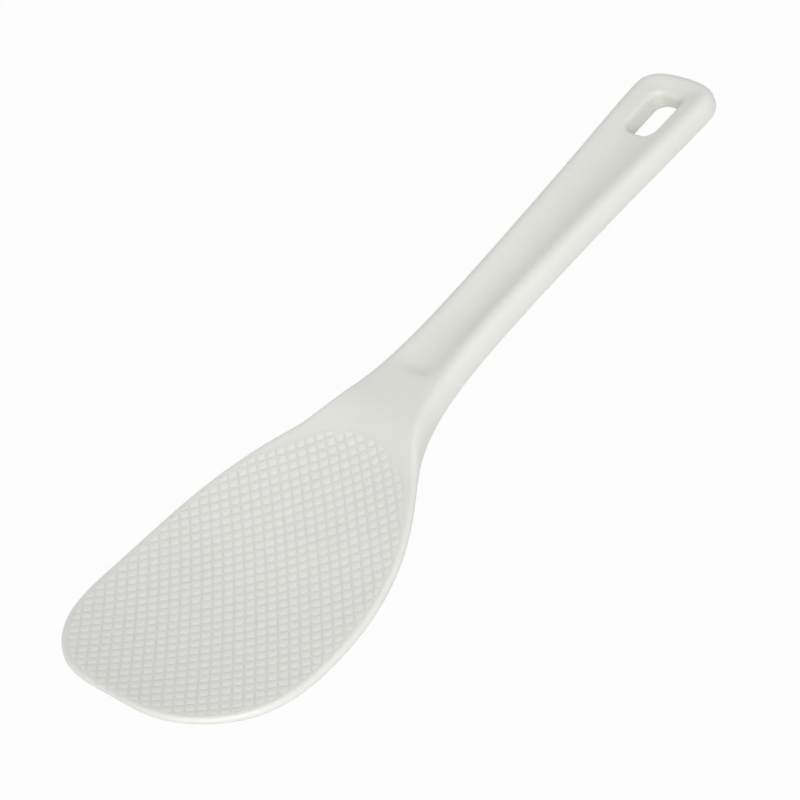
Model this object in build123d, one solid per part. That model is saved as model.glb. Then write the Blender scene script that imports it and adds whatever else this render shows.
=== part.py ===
"""Rice paddle: one injection-moulded piece with a dished blade, a grooved handle and a hang hole.

The paddle lies as it does on a table: the belly of the blade and the far end of the handle touch
z = 0, the tip of the blade points to -X and the handle runs to +X.  The origin is the middle of
the paddle, on the table.  While it is drawn, x is measured from the tip of the blade.
"""
import math
import os
from bisect import bisect_left, bisect_right

from build123d import *

# Overall sizes, mm
overall_length = 200.0
blade_width = 63.7
blade_thickness = 2.2

# Curves of the blade, mm
blade_length = 98.0
belly_from_tip = 50.8
rocker_radius_to_tip = 119.0
rocker_radius_to_neck = 112.2
dish_at_tip = 0.3
dish_at_neck = 6.85
blade_rim_round = 1.1

# Neck, mm: where each face starts and stops turning into the handle, back from the blade's end
neck_top_length = 23.4
neck_top_lead = 7.1
neck_under_length = 33.7
neck_under_lead = 14.6
neck_width = 19.1

# Handle, mm
waist_from_neck = 17.5
waist_width = 16.8
handle_end_width = 22.0
handle_end_round = 7.5
handle_top_at_neck = 9.1
handle_top_at_end = 6.5
handle_under_at_neck = 1.75
handle_bow = 0.22
handle_rim_round = 2.65

# Groove in the top of the handle, mm
groove_before_neck = 1.0
groove_depth = 1.5
groove_start_depth = 1.2
groove_start_length = 4.2
groove_growth_length = 14.0
groove_rim = 3.2
groove_fade_length = 3.5
groove_to_end = 2.0

# Hang hole, mm
hole_length = 13.4
hole_width = 8.2
hole_corner = 2.4
hole_to_end = 6.4
hole_lip = 1.5

# Each point of the blade's side, as a share of the blade's length and of half its width
blade_side_shares = (
    (0.0133, 0.460),
    (0.034, 0.598),
    (0.135, 0.905),
    (0.310, 1.000),
    (0.575, 0.887),
    (0.730, 0.660),
    (0.865, 0.412),
)

# Each point of the handle's side, as a share of its length and of its flare past the waist
flare_shares = ((0.0, 0.0), (0.33, 0.13), (0.66, 0.50), (1.0, 1.0))

# How square the rounded forms are: 2 is an ellipse, more is squarer
end_squareness = 2.7
blade_rim_squareness = 2.0
handle_rim_squareness = 2.4

# How late the blade's sides rise towards the neck, and how softly the groove's crests turn over
dish_power = 2.2
groove_crest_softness = 0.18

# How much of the wall a rounding may take at most
rim_of_blade_share = 0.5
lip_of_wall_share = 0.4

# How finely the paddle is drawn: cross-sections along it, and points round each of them
tip_section_count = 9
blade_section_count = 10
neck_section_count = 8
groove_start_section_count = 14
handle_section_count = 16
end_section_count = 14
points_to_middle = 14
crowd_at_most = 0.8
crowd_for_rim = 2.5
side_samples = 600
end_samples = 60
end_flat = 0.03

# Where the forms follow each other, mm from the tip of the blade
tip_end = blade_length * blade_side_shares[2][0]
neck_top_start = blade_length - neck_top_length
neck_top_end = blade_length - neck_top_lead
neck_under_start = blade_length - neck_under_length
neck_under_end = blade_length - neck_under_lead
waist_from_tip = blade_length + waist_from_neck
groove_from_tip = blade_length - groove_before_neck
cap_from_tip = overall_length - handle_end_round


def smooth_step(value, start, end):
    """Return 0 before start, 1 after end, and a smooth rise between them."""
    share = min(max((value - start) / (end - start), 0.0), 1.0)
    return share * share * (3.0 - 2.0 * share)


def blend(first, second, share):
    """Return the value that lies at this share of the way from first to second."""
    return first + (second - first) * share


def round_off(share, squareness):
    """Return the height of a rounded edge, 0 at the rim and 1 once share reaches 1."""
    return (1.0 - (1.0 - min(share, 1.0)) ** squareness) ** (1 / squareness)


def draw_outline():
    """Return places on one side of the paddle seen from above, from the tip to the end."""
    flare_length = cap_from_tip - waist_from_tip
    flare = (handle_end_width - waist_width) / 2
    half = [(blade_length * along, blade_width / 2 * across) for along, across in blade_side_shares]
    half.append((blade_length, neck_width / 2))
    half += [
        (waist_from_tip + flare_length * along, waist_width / 2 + flare * across)
        for along, across in flare_shares
    ]
    other = [(x, -y) for x, y in reversed(half)]
    leaving = [(-flare_length, flare), (flare_length, flare)]
    side = Spline(*other, (0.0, 0.0), *half, tangents=leaving)
    shares = [blend(0.5, 1.0, n / side_samples) for n in range(side_samples + 1)]
    places = [(place.X, abs(place.Y)) for place in side.positions(shares)]
    for n in range(1, end_samples + 1):
        along = math.sin(math.pi / 2 * n / end_samples)
        across = round_off(1.0 - along, end_squareness)
        places.append((cap_from_tip + handle_end_round * along, handle_end_width / 2 * across))
    return places


outline = draw_outline()
outline_x = [x for x, y in outline]


def half_width(x):
    """Return half the paddle's width at x."""
    after = min(max(bisect_right(outline_x, x), 1), len(outline) - 1)
    (near_x, near_y), (far_x, far_y) = outline[after - 1:after + 1]
    return blend(near_y, far_y, (x - near_x) / (far_x - near_x))


def line_distance(x, y, start, end):
    """Return how far a point lies from a short straight line."""
    dx, dy = end[0] - start[0], end[1] - start[1]
    share = ((x - start[0]) * dx + (y - start[1]) * dy) / (dx * dx + dy * dy)
    share = min(max(share, 0.0), 1.0)
    return math.hypot(x - start[0] - dx * share, y - start[1] - dy * share)


def edge_distance(x, y, reach):
    """Return how far a point lies inside the outline, or reach where it is further."""
    first = max(bisect_left(outline_x, x - reach) - 1, 0)
    last = bisect_right(outline_x, x + reach) + 1
    near = outline[first:last]
    return min([reach] + [line_distance(x, abs(y), *pair) for pair in zip(near, near[1:])])


def rocker(x, deeper=0):
    """Return the rise of the blade's long curve above its belly, an arc each way from there."""
    reach = min(x, blade_length) - belly_from_tip
    radius = deeper + (rocker_radius_to_tip if reach < 0 else rocker_radius_to_neck)
    return radius - math.sqrt(radius ** 2 - reach ** 2)


def handle_share(x):
    """Return how far along the handle a place is, 0 at the neck and 1 at the end."""
    return (x - blade_length) / (overall_length - blade_length)


def dish(x, y):
    """Return how far the blade rises towards its sides, most of all near the neck."""
    along = min(max(x / blade_length, 0.0), 1.0)
    rise = blend(dish_at_tip, dish_at_neck, along ** dish_power)
    flat = 1.0 - smooth_step(x, neck_top_start, neck_top_end)
    return rise * flat * (2 * y / blade_width) ** 2


def groove(x, y):
    """Return the depth of the handle's groove, round at its start and shallow at its end."""
    full = groove_from_tip + groove_start_length
    before = max(0.0, full - x) / groove_start_length
    beside = y / max(half_width(x) - groove_rim, groove_rim)
    inside = 1.0 - beside ** 2 - before ** 2
    hollow = (inside + math.hypot(inside, groove_crest_softness)) / 2
    depth = blend(groove_start_depth, groove_depth, smooth_step(x, full, full + groove_growth_length))
    fade_end = overall_length - groove_to_end
    return depth * hollow * (1.0 - smooth_step(x, fade_end - groove_fade_length, fade_end))


def bow(x):
    """Return how far the handle arches up along its length."""
    share = max(0.0, handle_share(x))
    return handle_bow * 4.0 * share * (1.0 - share)


def top_height(x):
    """Return the height of the top face along its middle, without the groove."""
    blade = blade_thickness + rocker(x)
    handle = blend(handle_top_at_neck, handle_top_at_end, handle_share(x))
    return blend(blade, handle, smooth_step(x, neck_top_start, neck_top_end)) + bow(x)


def under_height(x):
    """Return the height of the underside along its middle, which the table touches at zero."""
    blade = rocker(x, deeper=blade_thickness)
    handle = blend(handle_under_at_neck, 0.0, handle_share(x))
    return blend(blade, handle, smooth_step(x, neck_under_start, neck_under_end)) + bow(x)


def section(x):
    """Return the closed outline of one cross-section: over the top and back along the underside."""
    thick = smooth_step(x, neck_under_start, blade_length)
    blade_rim = min(blade_rim_round, blade_thickness * rim_of_blade_share)
    rim = blend(blade_rim, handle_rim_round, thick)
    squareness = blend(blade_rim_squareness, handle_rim_squareness, thick)
    half = half_width(x)
    crowd = max(0.0, crowd_at_most - crowd_for_rim * rim / half)
    middle, swell = (top_height(x) + under_height(x)) / 2, (top_height(x) - under_height(x)) / 2
    top, under = [], []
    for n in range(points_to_middle + 1):
        share = n / points_to_middle
        y = half * (1.0 - blend(share ** 2, share ** 4, crowd))
        rise = swell * round_off(edge_distance(x, y, rim) / rim, squareness) if n else 0.0
        level = middle + dish(x, y)
        top.append(Vector(x, y, level + rise - (groove(x, y) if n else 0.0)))
        under.append(Vector(x, y, level - rise))
    return Wire([across(top), across(under)])


def across(half_curve):
    """Return a curve from rim to rim, from the points of its first half."""
    points = half_curve + [Vector(point.X, -point.Y, point.Z) for point in reversed(half_curve[:-1])]
    return Edge.make_spline(points, parameters=[n / (len(points) - 1) for n in range(len(points))])


def spread(start, end, count, power=1):
    """Return evenly spaced stations, closer together near the start where power is over 1."""
    return [blend(start, end, (n / count) ** power) for n in range(count)]


def stations():
    """Return where the cross-sections lie, from just inside the tip to just inside the end."""
    groove_start = groove_from_tip - groove_start_length / 4
    groove_full = groove_from_tip + groove_start_length
    cap_start = cap_from_tip - handle_end_round / 2
    end = spread(overall_length - end_flat, cap_start, end_section_count, power=2)
    return [
        *spread(end_flat, tip_end, tip_section_count, power=2),
        *spread(tip_end, neck_under_start, blade_section_count),
        *spread(neck_under_start, groove_start, neck_section_count),
        *spread(groove_start, groove_full, groove_start_section_count),
        *spread(groove_full, cap_start, handle_section_count),
        cap_start,
        *reversed(end),
    ]


def pierce(body):
    """Return the paddle with its hang hole, a slot with round corners and rounded lips."""
    middle = overall_length - hole_to_end - hole_length / 2
    slot = Pos(middle, 0, 0) * RectangleRounded(hole_length, hole_width, hole_corner)
    pierced = body - extrude(slot, amount=overall_length, both=True)
    edges = pierced.edges() - pierced.edges().filter_by(Axis.Z)
    lips = edges.filter_by_position(Axis.Y, -hole_width / 2, hole_width / 2)
    lips = lips.filter_by_position(Axis.X, middle - hole_length / 2, middle + hole_length / 2)
    return fillet(lips, min(hole_lip, handle_top_at_end * lip_of_wall_share))


def main():
    """Draw the paddle, set it on the table and write it."""
    os.makedirs("parts", exist_ok=True)
    body = pierce(Solid.make_loft([section(x) for x in stations()]))
    table = body.bounding_box().min.Z
    paddle = Pos(-overall_length / 2, 0, -table) * body
    paddle.label = "paddle"
    export_step(paddle, "parts/paddle.step")


if __name__ == "__main__":
    main()
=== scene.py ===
"""Dresses the rice paddle: its white plastic, the pips on both faces, the light and the camera."""
import logging
import math
from bisect import bisect_right
from dataclasses import dataclass
from enum import Enum

import bmesh
import bpy
from mathutils import Matrix, Vector
from mathutils.bvhtree import BVHTree
from mathutils.kdtree import KDTree


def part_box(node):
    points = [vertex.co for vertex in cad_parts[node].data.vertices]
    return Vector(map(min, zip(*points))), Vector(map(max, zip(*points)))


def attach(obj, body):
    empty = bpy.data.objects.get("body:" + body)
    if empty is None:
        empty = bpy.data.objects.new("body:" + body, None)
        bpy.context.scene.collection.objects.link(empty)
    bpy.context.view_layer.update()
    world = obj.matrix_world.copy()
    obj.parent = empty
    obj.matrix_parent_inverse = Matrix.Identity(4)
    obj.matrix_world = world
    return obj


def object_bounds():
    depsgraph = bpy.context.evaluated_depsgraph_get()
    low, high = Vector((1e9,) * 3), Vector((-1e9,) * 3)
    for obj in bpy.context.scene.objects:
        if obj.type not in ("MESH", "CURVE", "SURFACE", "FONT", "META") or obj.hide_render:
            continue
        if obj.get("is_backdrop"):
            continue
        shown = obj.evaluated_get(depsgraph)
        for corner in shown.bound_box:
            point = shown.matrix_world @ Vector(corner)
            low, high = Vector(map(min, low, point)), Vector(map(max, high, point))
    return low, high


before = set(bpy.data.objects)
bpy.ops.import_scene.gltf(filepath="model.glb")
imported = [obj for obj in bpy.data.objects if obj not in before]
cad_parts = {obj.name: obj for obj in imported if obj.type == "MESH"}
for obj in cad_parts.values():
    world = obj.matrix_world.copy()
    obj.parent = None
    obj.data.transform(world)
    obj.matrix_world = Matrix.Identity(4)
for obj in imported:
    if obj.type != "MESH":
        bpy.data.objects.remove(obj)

logging.basicConfig(level=logging.INFO, format="%(name)s: %(message)s")
log = logging.getLogger("rice_paddle")

MM = 0.001
NODE = "paddle"

Tree = bpy.types.NodeTree
Socket = bpy.types.NodeSocket


class Face(Enum):
    """The two faces of the blade, with the direction along Z that each looks in."""

    TOP = 1
    UNDER = -1

    @property
    def title(self) -> str:
        """The face's name in lower case."""
        return self.name.lower()


@dataclass(frozen=True)
class Colour:
    """A colour in linear light."""

    red: float
    green: float
    blue: float

    def rgba(self) -> tuple[float, float, float, float]:
        """The colour as a shader socket takes it."""
        return (self.red, self.green, self.blue, 1.0)

    def scaled(self, share: float) -> "Colour":
        """The colour with all three parts times share."""
        return Colour(self.red * share, self.green * share, self.blue * share)


WHITE = Colour(1.0, 1.0, 1.0)


@dataclass(frozen=True)
class MouldedPlastic:
    """White moulded polypropylene: satin, faintly cloudy, with a fine mould grain.

    Sizes are in millimetres.  A detail says how many finer layers a pattern holds, and a pattern
    takes its whole range between noise_low and noise_high.
    """

    name: str = "white_polypropylene"
    base: Colour = Colour(0.820, 0.826, 0.781)
    cloud: float = 0.015
    cloud_size: float = 22.0
    cloud_detail: float = 3.0
    roughness: float = 0.36
    roughness_spread: float = 0.05
    roughness_detail: float = 4.0
    grain_size: float = 0.35
    grain_height: float = 0.004
    grain_detail: float = 2.0
    flow_size: float = 9.0
    flow_height: float = 0.02
    flow_detail: float = 1.0
    noise_low: float = 0.3
    noise_high: float = 0.7
    refraction: float = 1.49
    specular_level: float = 0.5
    glow: float = 0.3
    glow_reach: float = 2.0
    glow_shares: tuple[float, float, float] = (1.0, 0.95, 0.85)

    def make(self) -> bpy.types.Material:
        """Build the material.

        Returns:
            The procedural material, which reads Object coordinates.
        """
        material = bpy.data.materials.new(self.name)
        material.use_nodes = True
        tree = material.node_tree
        shader = tree.nodes["Principled BSDF"]
        place = tree.nodes.new("ShaderNodeTexCoord").outputs["Object"]
        tree.links.new(self._tint(tree, place), shader.inputs["Base Color"])
        tree.links.new(self._satin(tree, place), shader.inputs["Roughness"])
        tree.links.new(self._relief(tree, place), shader.inputs["Normal"])
        shader.inputs["IOR"].default_value = self.refraction
        shader.inputs["Specular IOR Level"].default_value = self.specular_level
        shader.inputs["Subsurface Weight"].default_value = self.glow
        shader.inputs["Subsurface Radius"].default_value = self.glow_shares
        shader.inputs["Subsurface Scale"].default_value = self.glow_reach * MM
        return material

    @staticmethod
    def _noise(tree: Tree, place: Socket, size: float, detail: float) -> Socket:
        """Add a noise pattern.

        Args:
            tree: The material's nodes.
            place: The coordinates that the pattern reads.
            size: The size of one blot, mm.
            detail: How many finer layers it holds.

        Returns:
            The noise's factor, about 0.5 on average.
        """
        noise = tree.nodes.new("ShaderNodeTexNoise")
        noise.inputs["Scale"].default_value = 1.0 / (size * MM)
        noise.inputs["Detail"].default_value = detail
        tree.links.new(place, noise.inputs["Vector"])
        return noise.outputs["Fac"]

    def _spread(self, tree: Tree, factor: Socket, low: float, high: float) -> Socket:
        """Stretch a noise factor over a range.

        Args:
            tree: The material's nodes.
            factor: The noise.
            low: The value where the noise is at its least.
            high: The value where the noise is at its most.

        Returns:
            The stretched value.
        """
        ramp = tree.nodes.new("ShaderNodeMapRange")
        ramp.inputs["From Min"].default_value = self.noise_low
        ramp.inputs["From Max"].default_value = self.noise_high
        ramp.inputs["To Min"].default_value = low
        ramp.inputs["To Max"].default_value = high
        tree.links.new(factor, ramp.inputs["Value"])
        return ramp.outputs["Result"]

    def _tint(self, tree: Tree, place: Socket) -> Socket:
        """Mix the plastic's slightly cloudy white.

        Args:
            tree: The material's nodes.
            place: The coordinates that the clouds follow.

        Returns:
            The colour.
        """
        noise = self._noise(tree, place, self.cloud_size, self.cloud_detail)
        mix = tree.nodes.new("ShaderNodeMix")
        mix.data_type = "RGBA"
        mix.inputs["A"].default_value = self.base.scaled(1.0 - self.cloud).rgba()
        mix.inputs["B"].default_value = self.base.scaled(1.0 + self.cloud).rgba()
        tree.links.new(self._spread(tree, noise, 0.0, 1.0), mix.inputs["Factor"])
        return mix.outputs["Result"]

    def _satin(self, tree: Tree, place: Socket) -> Socket:
        """Make the satin a little uneven, as handling leaves it.

        Args:
            tree: The material's nodes.
            place: The coordinates that the unevenness follows.

        Returns:
            The roughness.
        """
        noise = self._noise(tree, place, self.flow_size, self.roughness_detail)
        low, high = self.roughness - self.roughness_spread, self.roughness + self.roughness_spread
        return self._spread(tree, noise, low, high)

    def _relief(self, tree: Tree, place: Socket) -> Socket:
        """Lay the fine mould grain over the slow waves that the flow left.

        Args:
            tree: The material's nodes.
            place: The coordinates that the relief follows.

        Returns:
            The surface's direction.
        """
        flow = tree.nodes.new("ShaderNodeBump")
        grain = tree.nodes.new("ShaderNodeBump")
        tree.links.new(flow.outputs["Normal"], grain.inputs["Normal"])
        for bump, size, height, detail in (
            (flow, self.flow_size, self.flow_height, self.flow_detail),
            (grain, self.grain_size, self.grain_height, self.grain_detail),
        ):
            bump.inputs["Strength"].default_value = 1.0
            bump.inputs["Distance"].default_value = height * MM
            tree.links.new(self._noise(tree, place, size, detail), bump.inputs["Height"])
        return grain.outputs["Normal"]


@dataclass
class PaddleSurface:
    """The moulding's outer surface, measured with upright rays: heights, directions and widths.

    Sizes are in millimetres.
    """

    moulding: bpy.types.Object
    ray_lead: float = 50.0
    level_reach: float = 0.6
    side_margin: float = 1.0
    halving_count: int = 18

    def __post_init__(self) -> None:
        """Read the moulding's box and sort its faces for the rays."""
        self.low, self.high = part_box(NODE)
        mesh = self.moulding.data
        self.faces = BVHTree.FromPolygons(
            [vertex.co for vertex in mesh.vertices],
            [tuple(polygon.vertices) for polygon in mesh.polygons],
        )

    def height(self, x: float, y: float, face: Face) -> float | None:
        """Find the surface over or under a point.

        Args:
            x: The place along the paddle, m.
            y: The place across the paddle, m.
            face: The face that is wanted.

        Returns:
            The height of that face, m, or None beside the paddle.
        """
        lead = self.ray_lead * MM
        start = Vector((x, y, self.high.z + lead if face is Face.TOP else self.low.z - lead))
        hit = self.faces.ray_cast(start, Vector((0.0, 0.0, -float(face.value))))[0]
        return None if hit is None else hit.z

    def outward(self, x: float, y: float, face: Face) -> Vector:
        """Find the outward direction of a face, levelled over a small patch.

        Args:
            x: The place along the paddle, m.
            y: The place across the paddle, m, where the face is.
            face: The face that is wanted.

        Returns:
            The unit direction that points out of the face.
        """
        reach = self.level_reach * MM
        slopes = []
        for dx, dy in ((reach, 0.0), (0.0, reach)):
            steps = ((n, self.height(x + dx * n, y + dy * n, face)) for n in (-1, 0, 1))
            found = [(n, height) for n, height in steps if height is not None]
            (first, start), (last, end) = found[0], found[-1]
            slopes.append((end - start) / ((last - first) * reach) if last > first else 0.0)
        return (Vector((-slopes[0], -slopes[1], 1.0)) * face.value).normalized()

    def half_width(self, x: float) -> float:
        """Find half the paddle's width, by halving the stretch that holds its edge.

        Args:
            x: The place along the paddle, m.

        Returns:
            Half the width there, m.
        """
        inside, outside = 0.0, self.high.y + self.side_margin * MM
        for _ in range(self.halving_count):
            middle = (inside + outside) / 2
            if self.height(x, middle, Face.TOP) is None:
                outside = middle
            else:
                inside = middle
        return inside


@dataclass
class FieldEdge:
    """The outline of both fields of pips: just inside the blade's rim, and round at the neck.

    Sizes are in millimetres.
    """

    surface: PaddleSurface
    bare_rim: float = 1.3
    round_middle_x: float = -42.4
    round_radius: float = 22.5
    round_flare: float = 10.0
    past_round: float = 6.0
    tip_gap: float = 0.01
    probe: float = 0.05
    place_count: int = 420
    nearing_count: int = 2

    def __post_init__(self) -> None:
        """Measure the blade's side, in places that crowd together at its blunt tip."""
        start = self.surface.low.x
        reach = self.end_x + self.past_round * MM - start
        turns = [math.pi / 2 * n / self.place_count for n in range(self.place_count + 1)]
        self.along = [start + reach * (1.0 - math.cos(turn)) + self.tip_gap * MM for turn in turns]
        self.across = [self.surface.half_width(x) for x in self.along]
        self.side = KDTree(len(self.along))
        for n, (x, y) in enumerate(zip(self.along, self.across)):
            self.side.insert((x, y, 0.0), n)
        self.side.balance()

    @property
    def end_x(self) -> float:
        """The place along the paddle where the fields end at the neck, m."""
        return self.round_middle_x * MM + self.round_radius * MM

    def depth(self, x: float, y: float) -> float:
        """Measure how far a point lies inside the outline.

        Args:
            x: The point's place along the paddle, m.
            y: The point's place across the paddle, m.

        Returns:
            The distance to the outline, m, negative outside it.
        """
        to_side = self.side.find((x, abs(y), 0.0))[2]
        after = min(max(bisect_right(self.along, x), 1), len(self.along) - 1)
        on_paddle = self.along[0] < x and abs(y) < self.across[after]
        from_rim = (to_side if on_paddle else -to_side) - self.bare_rim * MM
        middle = self.round_middle_x * MM
        opening = max(0.0, middle + self.round_flare * MM - x)
        return min(from_rim, self.round_radius * MM + opening - math.hypot(x - middle, y))

    def nearest(self, x: float, y: float) -> tuple[float, float]:
        """Find the place on the outline that is nearest to a point outside it.

        Args:
            x: The point's place along the paddle, m.
            y: The point's place across the paddle, m.

        Returns:
            The place on the outline, m.
        """
        probe = self.probe * MM
        for _ in range(self.nearing_count):
            slope_x = self.depth(x + probe, y) - self.depth(x - probe, y)
            slope_y = self.depth(x, y + probe) - self.depth(x, y - probe)
            steep = math.hypot(slope_x, slope_y)
            if steep > 0.0:
                step = -self.depth(x, y) / steep
                x, y = x + slope_x * step, y + slope_y * step
        return x, y


@dataclass
class PipField:
    """The field of raised pips on one face of the blade.

    Sizes are in millimetres.  The pips stand on a square lattice turned by 45 degrees, evenly
    spaced along the curved face, and the ones at the field's edge are cut short by it.
    """

    face: Face
    surface: PaddleSurface
    edge: FieldEdge
    pitch: float = 2.339
    lattice_x: float = -61.72
    lattice_y: float = 2.64
    curve_start: float = 0.3
    curve_step: float = 0.5
    pip_width: float = 2.36
    pip_height: float = 0.10
    pip_cuts: int = 6
    pip_squareness: float = 2.4
    corner_share: float = 0.06
    sink: float = 0.04
    edge_slope: float = 0.5
    least_overlap: float = 0.1
    least_side: float = 0.01

    def build(self, finish: bpy.types.Material) -> bpy.types.Object:
        """Model every pip of this face in one mesh.

        Args:
            finish: The plastic.

        Returns:
            The finished piece, riding with the paddle.
        """
        name = f"pips_{self.face.title}"
        one = self._one_pip()
        mesh = bmesh.new()
        places = [(x, y) for x, y in self._lattice() if self.edge.depth(x, y) > -self.least_overlap * MM]
        for x, y in places:
            self._place(mesh, one, x, y)
        bpy.data.meshes.remove(one)
        bmesh.ops.dissolve_degenerate(mesh, dist=self.least_side * MM, edges=mesh.edges)
        bmesh.ops.recalc_face_normals(mesh, faces=mesh.faces)
        data = bpy.data.meshes.new(name)
        mesh.to_mesh(data)
        mesh.free()
        data.materials.append(finish)
        piece = bpy.data.objects.new(name, data)
        bpy.context.scene.collection.objects.link(piece)
        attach(piece, "root")
        log.info("%s: %d pips", name, len(places))
        return piece

    def _one_pip(self) -> bpy.types.Mesh:
        """Model one pip: a soft square pillow with drawn-in corners, closed below.

        Returns:
            The pip's mesh, its foot just under zero, with its sides along X and Y.
        """
        pip = bmesh.new()
        bmesh.ops.create_grid(pip, x_segments=self.pip_cuts, y_segments=self.pip_cuts, size=1.0)
        for vert in pip.verts:
            across, along = vert.co.x, vert.co.y
            swell = (1.0 - abs(across) ** self.pip_squareness) * (1.0 - abs(along) ** self.pip_squareness)
            half = self.pip_width / 2 * (1.0 - self.corner_share * (across * along) ** 2)
            tall = swell * (self.pip_height + self.sink) - self.sink
            vert.co = Vector((across * half, along * half, tall)) * MM
        foot = [edge for edge in pip.edges if edge.is_boundary]
        for face in pip.faces:
            face.smooth = True
        for edge in foot:
            edge.smooth = False
        bmesh.ops.holes_fill(pip, edges=foot, sides=0)
        bmesh.ops.recalc_face_normals(pip, faces=pip.faces)
        data = bpy.data.meshes.new("one_pip")
        pip.to_mesh(data)
        pip.free()
        return data

    def _lattice(self) -> list[tuple[float, float]]:
        """Lay the lattice on the face, evenly spaced along its curve.

        Returns:
            The lattice's points, as places seen from above, m.
        """
        half = self.pitch / math.sqrt(2) * MM
        places, runs = self._unroll(self.edge.end_x + 2 * half)
        start = self._between(places, runs, self.lattice_x * MM)
        rows = math.ceil(runs[-1] / half)
        columns = math.ceil((self.surface.high.y + abs(self.lattice_y) * MM) / half)
        points = []
        for row in range(-rows, rows + 1):
            run = start + row * half
            if 0.0 <= run <= runs[-1]:
                x = self._between(runs, places, run)
                kept = (n for n in range(-columns, columns + 1) if (row + n) % 2 == 0)
                points += [(x, self.lattice_y * MM + n * half) for n in kept]
        return points

    def _unroll(self, end: float) -> tuple[list[float], list[float]]:
        """Follow the curve of the face along its middle, from just inside the tip.

        Args:
            end: The place along the paddle where it may stop, m.

        Returns:
            Places along the paddle, and the length of the curve up to each, m.
        """
        step = self.curve_step * MM
        places, runs = [self.surface.low.x + self.curve_start * MM], [0.0]
        while places[-1] < end:
            x = places[-1]
            rise = self.surface.height(x + step, 0.0, self.face) - self.surface.height(x, 0.0, self.face)
            places.append(x + step)
            runs.append(runs[-1] + math.hypot(step, rise))
        return places, runs

    @staticmethod
    def _between(known: list[float], values: list[float], at: float) -> float:
        """Read a value between the entries of two rising lists.

        Args:
            known: The list that at belongs to.
            values: The list that the answer comes from.
            at: The place to read.

        Returns:
            The value at that place.
        """
        after = min(max(bisect_right(known, at), 1), len(known) - 1)
        share = (at - known[after - 1]) / (known[after] - known[after - 1])
        return values[after - 1] + (values[after] - values[after - 1]) * share

    def _place(self, mesh: bmesh.types.BMesh, one: bpy.types.Mesh, x: float, y: float) -> None:
        """Stand a copy of the pip on the face, and cut it short where the field ends.

        Args:
            mesh: The mesh that gathers the pips.
            one: The pip.
            x: The pip's place along the paddle, m.
            y: The pip's place across the paddle, m.
        """
        z = self.surface.height(x, y, self.face)
        if z is None:
            return
        before = len(mesh.verts)
        mesh.from_mesh(one)
        mesh.verts.ensure_lookup_table()
        added = mesh.verts[before:]
        outward = self.surface.outward(x, y, self.face)
        turn = Vector((0.0, 0.0, 1.0)).rotation_difference(outward).to_matrix().to_4x4()
        stand = Matrix.Translation((x, y, z)) @ turn @ Matrix.Rotation(math.pi / 4, 4, "Z")
        bmesh.ops.transform(mesh, matrix=stand, verts=added)
        if self.edge.depth(x, y) < (self.pip_width + self.edge_slope) * MM:
            self._cut_short(added, outward)

    def _cut_short(self, verts: list[bmesh.types.BMVert], outward: Vector) -> None:
        """Bring the vertices outside the field back to its outline, and slope the pip down to it.

        Args:
            verts: The vertices of one pip.
            outward: The direction in which the pip stands.
        """
        slope = self.edge_slope * MM
        for vert in verts:
            x, y = vert.co.x, vert.co.y
            inset = self.edge.depth(x, y)
            if inset >= slope:
                continue
            if inset <= 0.0:
                x, y = self.edge.nearest(x, y)
            z = self.surface.height(x, y, self.face)
            if z is not None:
                foot = Vector((x, y, z)) - outward * self.sink * MM
                vert.co = foot.lerp(vert.co, max(inset, 0.0) / slope)


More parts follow.
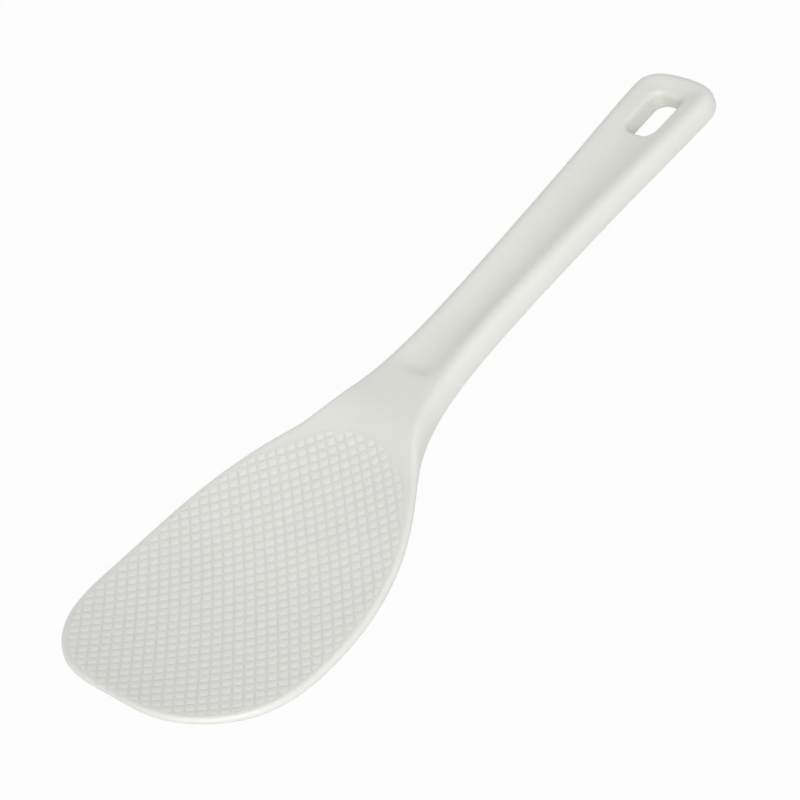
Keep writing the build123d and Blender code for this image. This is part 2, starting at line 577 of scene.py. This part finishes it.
@dataclass
class Studio:
    """The plain pale floor, the even light and the camera at the photograph's angle.

    The camera's place, lens and sensor are in millimetres, the floor's and the lamp's sizes in
    metres, and the angles in degrees.
    """

    camera_place: tuple[float, float, float] = (-221.32, -352.85, 391.83)
    camera_right: tuple[float, float, float] = (0.61252, -0.72198, -0.32187)
    camera_up: tuple[float, float, float] = (0.69454, 0.29729, 0.65511)
    camera_clip: float = 10.0
    lens: float = 117.59
    sensor: float = 36.0
    floor_width: float = 4.0
    floor_colour: Colour = Colour(0.85, 0.85, 0.85)
    floor_roughness: float = 0.9
    floor_shadow: float = 0.05
    sky: float = 0.54
    key_angle: float = 53.0
    key_turn: float = 34.0
    key_distance: float = 1.2
    key_width: float = 0.9
    key_level: float = 0.53

    def build(self, floor_height: float) -> None:
        """Set the floor, the sky, the lamp and the camera.

        Args:
            floor_height: The height of the floor, m.
        """
        self._view()
        self._floor(floor_height)
        self._sky()
        self._key()
        bpy.context.scene.view_settings.view_transform = "Standard"

    def _view(self) -> None:
        """Set the camera where the photograph was taken from."""
        data = bpy.data.cameras.new("camera")
        data.lens = self.lens
        data.sensor_width = self.sensor
        data.sensor_fit = "HORIZONTAL"
        data.clip_start = self.camera_clip * MM
        right, up = Vector(self.camera_right).normalized(), Vector(self.camera_up)
        up = (up - right * up.dot(right)).normalized()
        turn = Matrix((right, up, right.cross(up))).transposed()
        camera = bpy.data.objects.new("camera", data)
        camera.matrix_world = Matrix.Translation(Vector(self.camera_place) * MM) @ turn.to_4x4()
        bpy.context.scene.collection.objects.link(camera)
        bpy.context.scene.camera = camera

    @staticmethod
    def _background_rays(tree: Tree) -> Socket:
        """Add the test for the rays that show the background.

        Args:
            tree: The nodes of the floor or the sky.

        Returns:
            1 for camera, glossy and transmission rays, and 0 for the rest.
        """
        path = tree.nodes.new("ShaderNodeLightPath")
        value = path.outputs["Is Camera Ray"]
        for name in ("Is Glossy Ray", "Is Transmission Ray"):
            either = tree.nodes.new("ShaderNodeMath")
            either.operation = "MAXIMUM"
            tree.links.new(value, either.inputs[0])
            tree.links.new(path.outputs[name], either.inputs[1])
            value = either.outputs[0]
        return value

    @staticmethod
    def _mix(tree: Tree, share: Socket, shaders: tuple[Socket, Socket], output: str) -> None:
        """Mix two shaders and send the result to the output.

        Args:
            tree: The nodes of the floor or the sky.
            share: How much the second shader counts.
            shaders: The two shaders.
            output: The name of the output node.
        """
        mix = tree.nodes.new("ShaderNodeMixShader")
        tree.links.new(share, mix.inputs["Fac"])
        tree.links.new(shaders[0], mix.inputs[1])
        tree.links.new(shaders[1], mix.inputs[2])
        tree.links.new(mix.outputs["Shader"], tree.nodes[output].inputs["Surface"])

    def _floor(self, height: float) -> None:
        """Lay the white floor, which keeps a faint shadow.

        Args:
            height: The height of the floor, m.
        """
        mesh = bmesh.new()
        bmesh.ops.create_grid(mesh, x_segments=1, y_segments=1, size=self.floor_width / 2)
        data = bpy.data.meshes.new("floor")
        mesh.to_mesh(data)
        mesh.free()
        data.transform(Matrix.Translation((0.0, 0.0, height)))
        data.materials.append(self._floor_finish())
        floor = bpy.data.objects.new("floor", data)
        bpy.context.scene.collection.objects.link(floor)
        floor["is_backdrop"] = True

    def _floor_finish(self) -> bpy.types.Material:
        """Make the floor's matt white, which looks as bright as the background.

        Returns:
            The material.
        """
        material = bpy.data.materials.new("pale_floor")
        material.use_nodes = True
        tree = material.node_tree
        matt = tree.nodes["Principled BSDF"]
        matt.inputs["Base Color"].default_value = self.floor_colour.rgba()
        matt.inputs["Roughness"].default_value = self.floor_roughness
        matt.inputs["Specular IOR Level"].default_value = 0.0
        white = tree.nodes.new("ShaderNodeEmission")
        white.inputs["Color"].default_value = WHITE.rgba()
        white.inputs["Strength"].default_value = 1.0
        share = tree.nodes.new("ShaderNodeMath")
        share.operation = "MULTIPLY"
        share.inputs[1].default_value = 1.0 - self.floor_shadow
        tree.links.new(self._background_rays(tree), share.inputs[0])
        shaders = matt.outputs["BSDF"], white.outputs["Emission"]
        self._mix(tree, share.outputs[0], shaders, "Material Output")
        return material

    def _sky(self) -> None:
        """Light the paddle evenly from all round, in front of a white background."""
        world = bpy.data.worlds.new("studio")
        world.use_nodes = True
        tree = world.node_tree
        light = tree.nodes["Background"]
        white = tree.nodes.new("ShaderNodeBackground")
        for shader, strength in ((light, self.sky), (white, 1.0)):
            shader.inputs["Color"].default_value = WHITE.rgba()
            shader.inputs["Strength"].default_value = strength
        shaders = light.outputs["Background"], white.outputs["Background"]
        self._mix(tree, self._background_rays(tree), shaders, "World Output")
        bpy.context.scene.world = world

    def _key(self) -> None:
        """Hang the soft key lamp on the camera's side, facing the middle of the paddle."""
        data = bpy.data.lights.new("key", "AREA")
        data.shape = "DISK"
        data.size = self.key_width
        # The power at which a white surface that faces the lamp from the paddle's place has key_level
        data.energy = self.key_level * math.pi ** 2 * self.key_distance ** 2
        angle, turn = math.radians(self.key_angle), math.radians(self.key_turn)
        low = Vector((-math.sin(turn), -math.cos(turn), 0.0)) * math.sin(angle)
        place = (low + Vector((0.0, 0.0, math.cos(angle)))) * self.key_distance
        lamp = bpy.data.objects.new("key", data)
        facing = (-place).to_track_quat("-Z", "Y").to_matrix().to_4x4()
        lamp.matrix_world = Matrix.Translation(place) @ facing
        bpy.context.scene.collection.objects.link(lamp)


@dataclass
class RicePaddle:
    """The whole paddle: the moulding and the pips on its two faces.

    The pips' finish has no glow, which would darken such thin shells. Its base is paler than the
    moulding's: painted brightness that stands in for the light the thin blade lets through.
    """

    finish: MouldedPlastic = MouldedPlastic()
    # Painted brightness: the pips' plastic is a paler copy of the moulding's, standing in for the light
    # that comes through the thin blade
    pip_finish_painted_paler: MouldedPlastic = MouldedPlastic(
        name="white_polypropylene_pips_painted_paler", base=Colour(0.838, 0.844, 0.799), glow=0.0
    )

    def build(self) -> list[bpy.types.Object]:
        """Dress the moulding and stand the pips on it.

        Returns:
            The pieces, the moulding first.
        """
        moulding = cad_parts[NODE]
        moulding.data.materials.clear()
        moulding.data.materials.append(self.finish.make())
        # The pips' paler plastic, with painted brightness in its base colour
        pip_plastic_painted_paler = self.pip_finish_painted_paler.make()
        surface = PaddleSurface(moulding)
        edge = FieldEdge(surface)
        return [moulding] + [PipField(face, surface, edge).build(pip_plastic_painted_paler) for face in Face]


def main() -> None:
    """Build the paddle, then the studio."""
    cad_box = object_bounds()
    for piece in RicePaddle().build():
        log.info("%s: %d faces", piece.name, len(piece.data.polygons))
    visual_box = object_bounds()
    Studio().build(floor_height=min(cad_box[0].z, visual_box[0].z))


if __name__ == "__main__":
    main()
